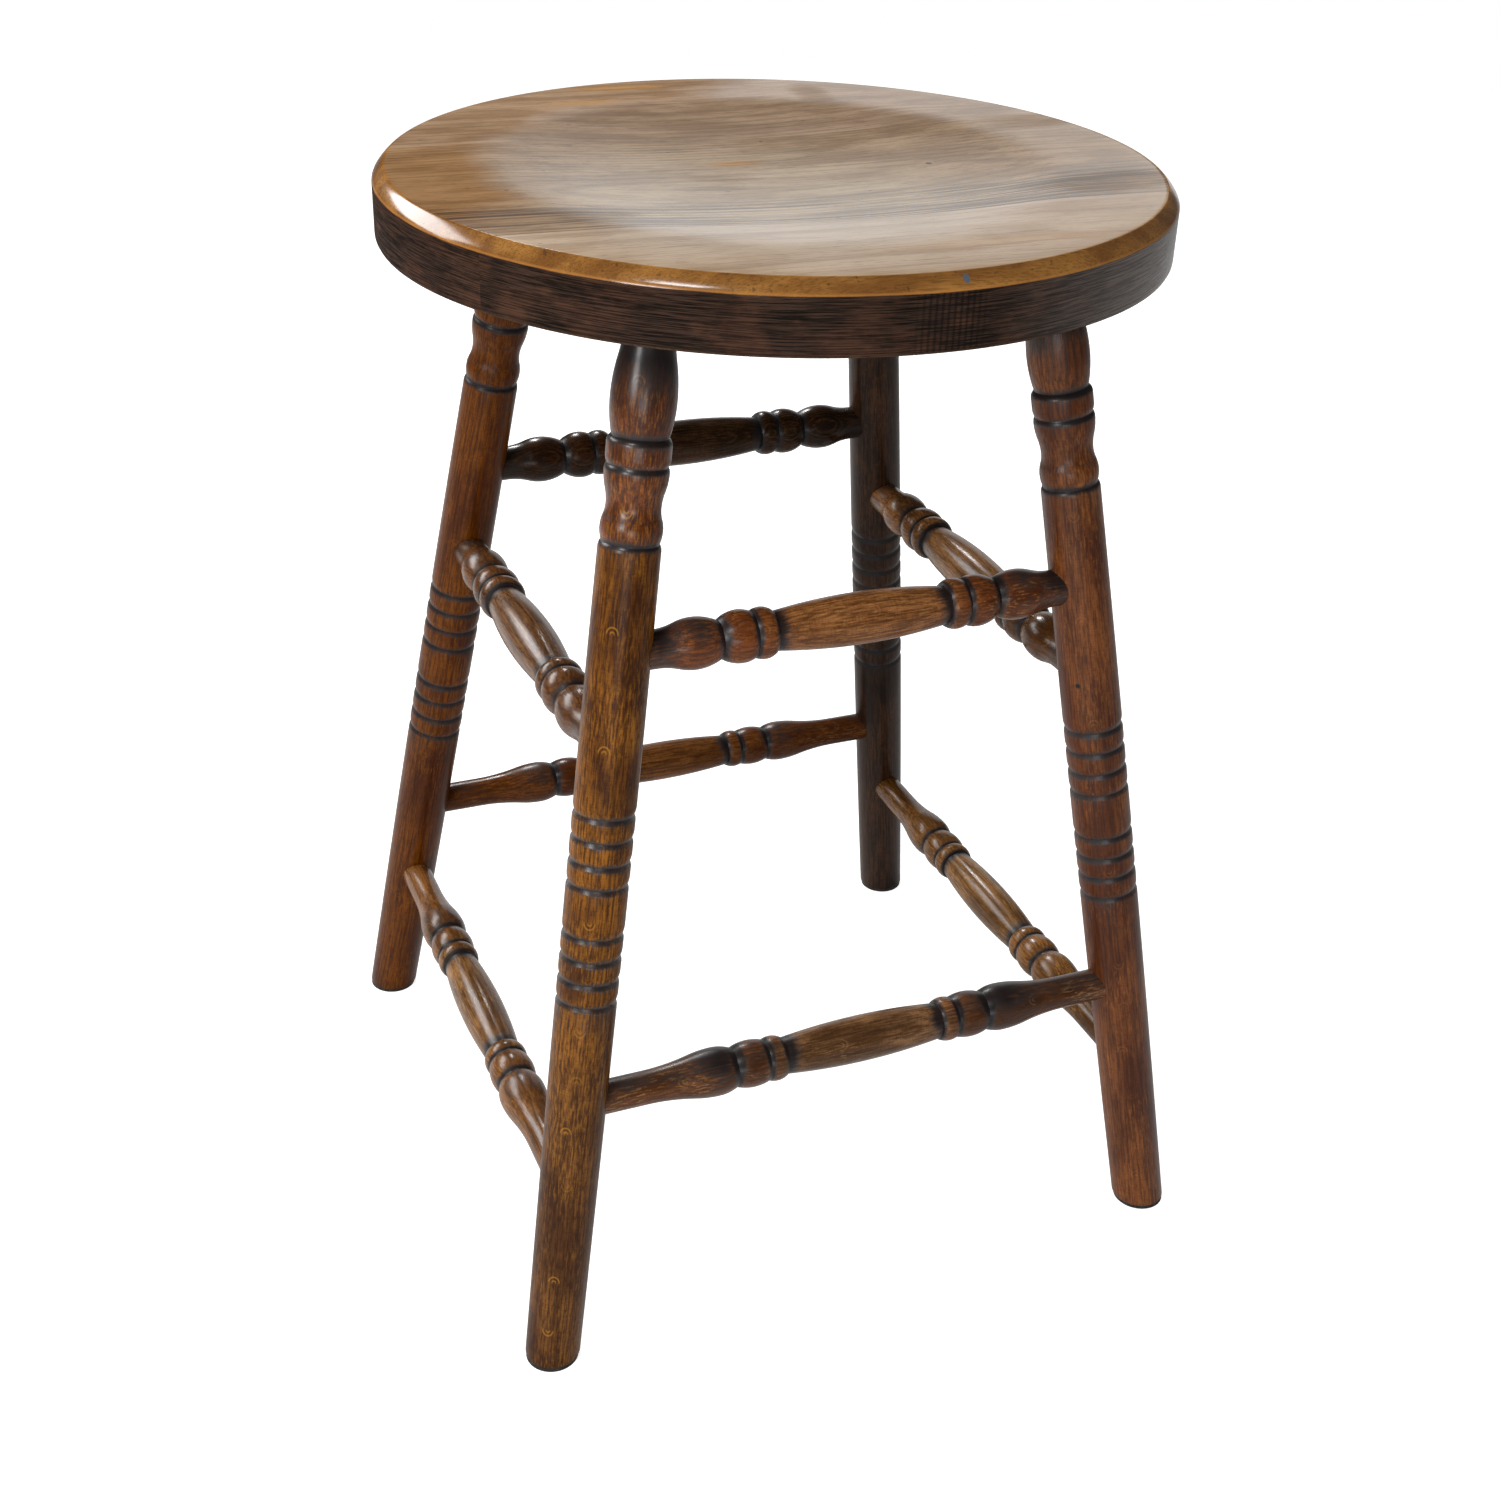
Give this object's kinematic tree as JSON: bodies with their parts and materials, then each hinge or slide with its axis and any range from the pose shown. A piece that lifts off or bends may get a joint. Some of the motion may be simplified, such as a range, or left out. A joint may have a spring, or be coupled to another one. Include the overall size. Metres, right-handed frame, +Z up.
{
  "type": "stool",
  "caption": "Counter-height farmhouse stool: round dished seat glued up from boards, splayed turned legs with ring grooves, and turned upper and lower stretchers on every side.",
  "frame": {"origin": "on the floor under the middle of the round seat", "axes": "+Z up, +X to the sitter's right as seen from the front, the sitter faces -Y"},
  "size_m": [0.42, 0.42, 0.61],
  "materials": {
    "seat_wood": "worn satin varnish",
    "golden_leg_wood": "satin varnish",
    "red_brown_leg_wood": "satin varnish",
    "dark_leg_wood": "satin varnish",
    "stretcher_wood": "satin varnish",
    "dowel_wood": "bare",
    "foot_pad": "matt"
  },
  "bodies": {
    "root": {"seat_front_board": "seat_wood", "seat_middle_board": "seat_wood", "seat_rear_board": "seat_wood", "seat_joint_dowels": "dowel_wood", "front_left_leg": "golden_leg_wood", "front_left_foot_pad": "foot_pad", "front_right_leg": "dark_leg_wood", "front_right_foot_pad": "foot_pad", "back_left_leg": "red_brown_leg_wood", "back_left_foot_pad": "foot_pad", "back_right_leg": "dark_leg_wood", "back_right_foot_pad": "foot_pad", "front_upper_stretcher": "stretcher_wood", "back_upper_stretcher": "stretcher_wood", "left_upper_stretcher": "stretcher_wood", "right_upper_stretcher": "stretcher_wood", "front_lower_stretcher": "stretcher_wood", "back_lower_stretcher": "stretcher_wood", "left_lower_stretcher": "stretcher_wood", "right_lower_stretcher": "stretcher_wood"}
  },
  "joints": []
}
